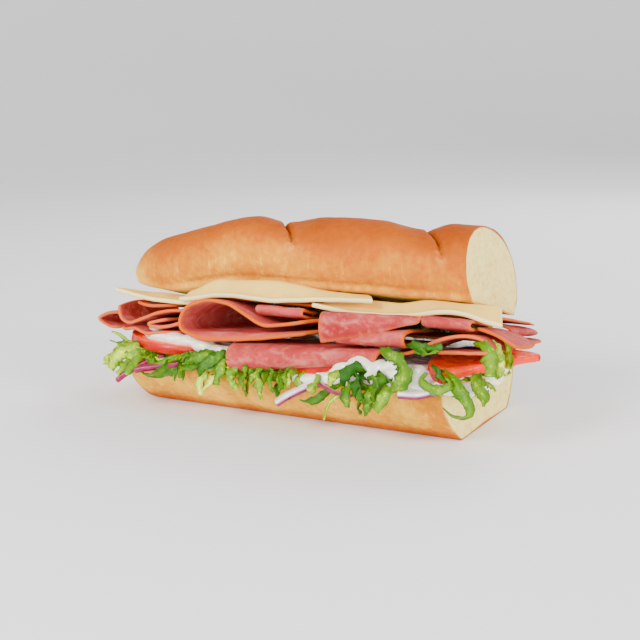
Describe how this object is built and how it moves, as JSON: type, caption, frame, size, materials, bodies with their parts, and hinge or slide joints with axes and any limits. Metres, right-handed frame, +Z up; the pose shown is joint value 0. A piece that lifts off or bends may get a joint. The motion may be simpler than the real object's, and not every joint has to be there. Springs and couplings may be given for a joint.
{
  "type": "submarine sandwich",
  "caption": "Half a long soft roll, split and filled with shredded lettuce, onion, white sauce, tomato slices, folded ham and thin cheese; the open side is lifted to show the filling.",
  "frame": {"origin": "under the middle of the whole sandwich, on the surface that it stands on", "axes": "+X along the roll to its cut end, +Y to the closed back, so the open filled side faces -Y, +Z up"},
  "size_m": [0.1796, 0.099, 0.0761],
  "materials": {
    "bread": "golden-brown baked crust, paler low on the sides, with a cream open crumb on the cut faces",
    "ham": "moist pink cooked ham with pale flecks and thin orange-brown rims",
    "cheese": "smooth pale ivory sliced cheese, slightly waxy",
    "tomato": "wet red tomato, glossy skin round the slice and orange-red flesh",
    "onion": "crisp red onion, white body with a purple skin edge",
    "sauce": "thick glossy white sauce",
    "lettuce": "fresh shredded lettuce, light to dark green with a soft shine"
  },
  "bodies": {
    "root": {"bread_heel": "bread", "bread_crown": "bread", "ham_tongue": "ham", "ham_cup": "ham", "ham_upper_left": "ham", "ham_lower_left": "ham", "ham_hook": "ham", "ham_big_loop": "ham", "ham_middle_roll": "ham", "ham_low_roll": "ham", "ham_point": "ham", "ham_orange_roll": "ham", "ham_right_loop": "ham", "ham_right_roll": "ham", "ham_right_strip": "ham", "ham_end_upper": "ham", "ham_end_lower": "ham", "ham_back_left": "ham", "ham_back_middle": "ham", "ham_back_upper": "ham", "ham_top_middle": "ham", "ham_top_right": "ham", "cheese_left": "cheese", "cheese_middle": "cheese", "cheese_right": "cheese", "tomato_left": "tomato", "tomato_middle": "tomato", "tomato_right": "tomato", "onion_left_tip": "onion", "onion_left": "onion", "onion_middle": "onion", "onion_thread": "onion", "onion_right": "onion", "sauce": "sauce", "lettuce": "lettuce"}
  },
  "joints": []
}
